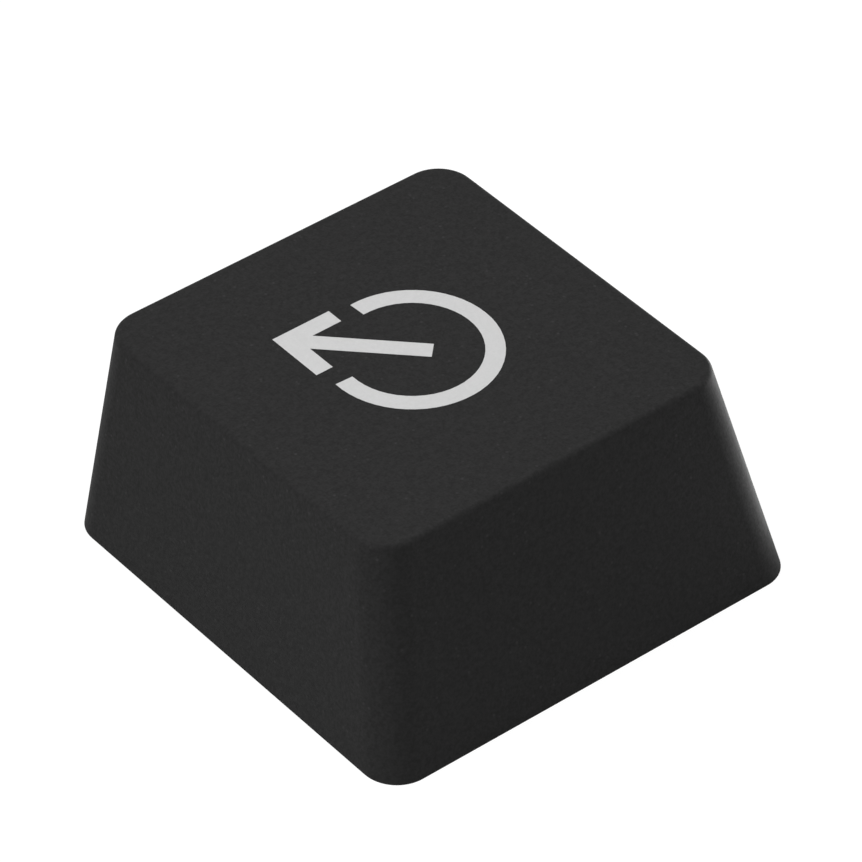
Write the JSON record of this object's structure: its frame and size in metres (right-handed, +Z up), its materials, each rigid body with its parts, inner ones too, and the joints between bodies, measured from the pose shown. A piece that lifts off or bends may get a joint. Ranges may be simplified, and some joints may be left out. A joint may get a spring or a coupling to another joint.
{
  "type": "keycap",
  "caption": "Square keyboard keycap with sloping sides, a flat top set toward the back, a flush light ring-and-arrow legend, and a hollow underside with a cross-socket stem.",
  "frame": {"origin": "middle of the base rim, in the plane that the rim rests on", "axes": "+Z up out of the flat top, -Y towards the typist, +X to the typist's right"},
  "size_m": [0.0182, 0.0182, 0.0081],
  "materials": {
    "shell_plastic": "near-black moulded plastic with a very fine, even texture",
    "legend_plastic": "light grey moulded plastic, flush with the shell"
  },
  "bodies": {
    "root": {"cap_shell": "shell_plastic", "legend_inlay": "legend_plastic"}
  },
  "joints": []
}
